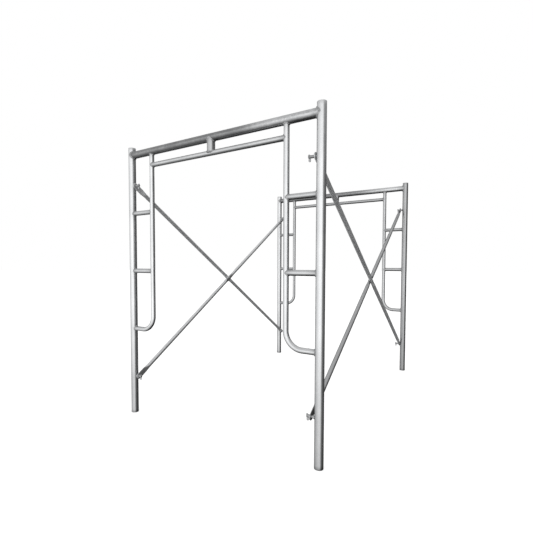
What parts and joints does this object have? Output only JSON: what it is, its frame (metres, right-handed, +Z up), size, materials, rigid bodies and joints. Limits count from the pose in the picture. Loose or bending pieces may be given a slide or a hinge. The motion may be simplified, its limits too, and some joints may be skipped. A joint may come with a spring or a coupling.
{
  "type": "frame scaffold section",
  "caption": "Two walk-through tube frames with ladder sides, joined by crossed brace pairs held on slotted studs by gravity locks.",
  "frame": {"origin": "on the floor at the middle of the bay, under the centre of the bounding box", "axes": "+X across a frame to the right leg, +Y along the bay to the rear frame, +Z up"},
  "size_m": [1.2618, 1.9026, 1.61],
  "materials": {
    "frame_tube": "hot-dip galvanised, bright grey with a faint spangle",
    "brace_tube": "hot-dip galvanised, slightly darker and smoother than the frames",
    "fitting": "dull zinc plated"
  },
  "bodies": {
    "frames": {"front_ledger": "frame_tube", "front_header": "frame_tube", "front_stub": "frame_tube", "front_left_leg": "frame_tube", "front_left_inner_tube": "frame_tube", "front_left_lower_rung": "frame_tube", "front_left_upper_rung": "frame_tube", "front_left_lower_stud": "fitting", "front_left_lower_pin": "fitting", "front_left_upper_stud": "fitting", "front_left_upper_pin": "fitting", "front_right_leg": "frame_tube", "front_right_inner_tube": "frame_tube", "front_right_lower_rung": "frame_tube", "front_right_upper_rung": "frame_tube", "front_right_lower_stud": "fitting", "front_right_lower_pin": "fitting", "front_right_upper_stud": "fitting", "front_right_upper_pin": "fitting", "rear_ledger": "frame_tube", "rear_header": "frame_tube", "rear_stub": "frame_tube", "rear_left_leg": "frame_tube", "rear_left_inner_tube": "frame_tube", "rear_left_lower_rung": "frame_tube", "rear_left_upper_rung": "frame_tube", "rear_left_lower_stud": "fitting", "rear_left_lower_pin": "fitting", "rear_left_upper_stud": "fitting", "rear_left_upper_pin": "fitting", "rear_right_leg": "frame_tube", "rear_right_inner_tube": "frame_tube", "rear_right_lower_rung": "frame_tube", "rear_right_upper_rung": "frame_tube", "rear_right_lower_stud": "fitting", "rear_right_lower_pin": "fitting", "rear_right_upper_stud": "fitting", "rear_right_upper_pin": "fitting"},
    "left_braces": {"left_outer_brace": "brace_tube", "left_inner_brace": "brace_tube", "left_rivet": "fitting"},
    "right_braces": {"right_outer_brace": "brace_tube", "right_inner_brace": "brace_tube", "right_rivet": "fitting"},
    "front_left_lower_lock_body": {"front_left_lower_lock": "fitting"},
    "front_left_upper_lock_body": {"front_left_upper_lock": "fitting"},
    "front_right_lower_lock_body": {"front_right_lower_lock": "fitting"},
    "front_right_upper_lock_body": {"front_right_upper_lock": "fitting"},
    "rear_left_lower_lock_body": {"rear_left_lower_lock": "fitting"},
    "rear_left_upper_lock_body": {"rear_left_upper_lock": "fitting"},
    "rear_right_lower_lock_body": {"rear_right_lower_lock": "fitting"},
    "rear_right_upper_lock_body": {"rear_right_upper_lock": "fitting"}
  },
  "joints": [
    {"name": "left_braces_slide", "type": "slide", "parent": "frames", "child": "left_braces", "axis": [1, 0, 0], "range_m": [-0.0008, 0.005]},
    {"name": "right_braces_slide", "type": "slide", "parent": "frames", "child": "right_braces", "axis": [-1, 0, 0], "range_m": [-0.0008, 0.005]},
    {"name": "front_left_lower_lock_swing", "type": "hinge", "parent": "frames", "child": "front_left_lower_lock_body", "pos_m": [-0.5545, -0.93, 0.228], "axis": [0, -1, 0], "range_deg": [0, 90]},
    {"name": "front_left_upper_lock_swing", "type": "hinge", "parent": "frames", "child": "front_left_upper_lock_body", "pos_m": [-0.5545, -0.93, 1.383], "axis": [0, -1, 0], "range_deg": [0, 90]},
    {"name": "front_right_lower_lock_swing", "type": "hinge", "parent": "frames", "child": "front_right_lower_lock_body", "pos_m": [0.5545, -0.93, 0.228], "axis": [0, 1, 0], "range_deg": [0, 90]},
    {"name": "front_right_upper_lock_swing", "type": "hinge", "parent": "frames", "child": "front_right_upper_lock_body", "pos_m": [0.5545, -0.93, 1.383], "axis": [0, 1, 0], "range_deg": [0, 90]},
    {"name": "rear_left_lower_lock_swing", "type": "hinge", "parent": "frames", "child": "rear_left_lower_lock_body", "pos_m": [-0.5545, 0.93, 0.228], "axis": [0, -1, 0], "range_deg": [0, 90]},
    {"name": "rear_left_upper_lock_swing", "type": "hinge", "parent": "frames", "child": "rear_left_upper_lock_body", "pos_m": [-0.5545, 0.93, 1.383], "axis": [0, -1, 0], "range_deg": [0, 90]},
    {"name": "rear_right_lower_lock_swing", "type": "hinge", "parent": "frames", "child": "rear_right_lower_lock_body", "pos_m": [0.5545, 0.93, 0.228], "axis": [0, 1, 0], "range_deg": [0, 90]},
    {"name": "rear_right_upper_lock_swing", "type": "hinge", "parent": "frames", "child": "rear_right_upper_lock_body", "pos_m": [0.5545, 0.93, 1.383], "axis": [0, 1, 0], "range_deg": [0, 90]}
  ]
}
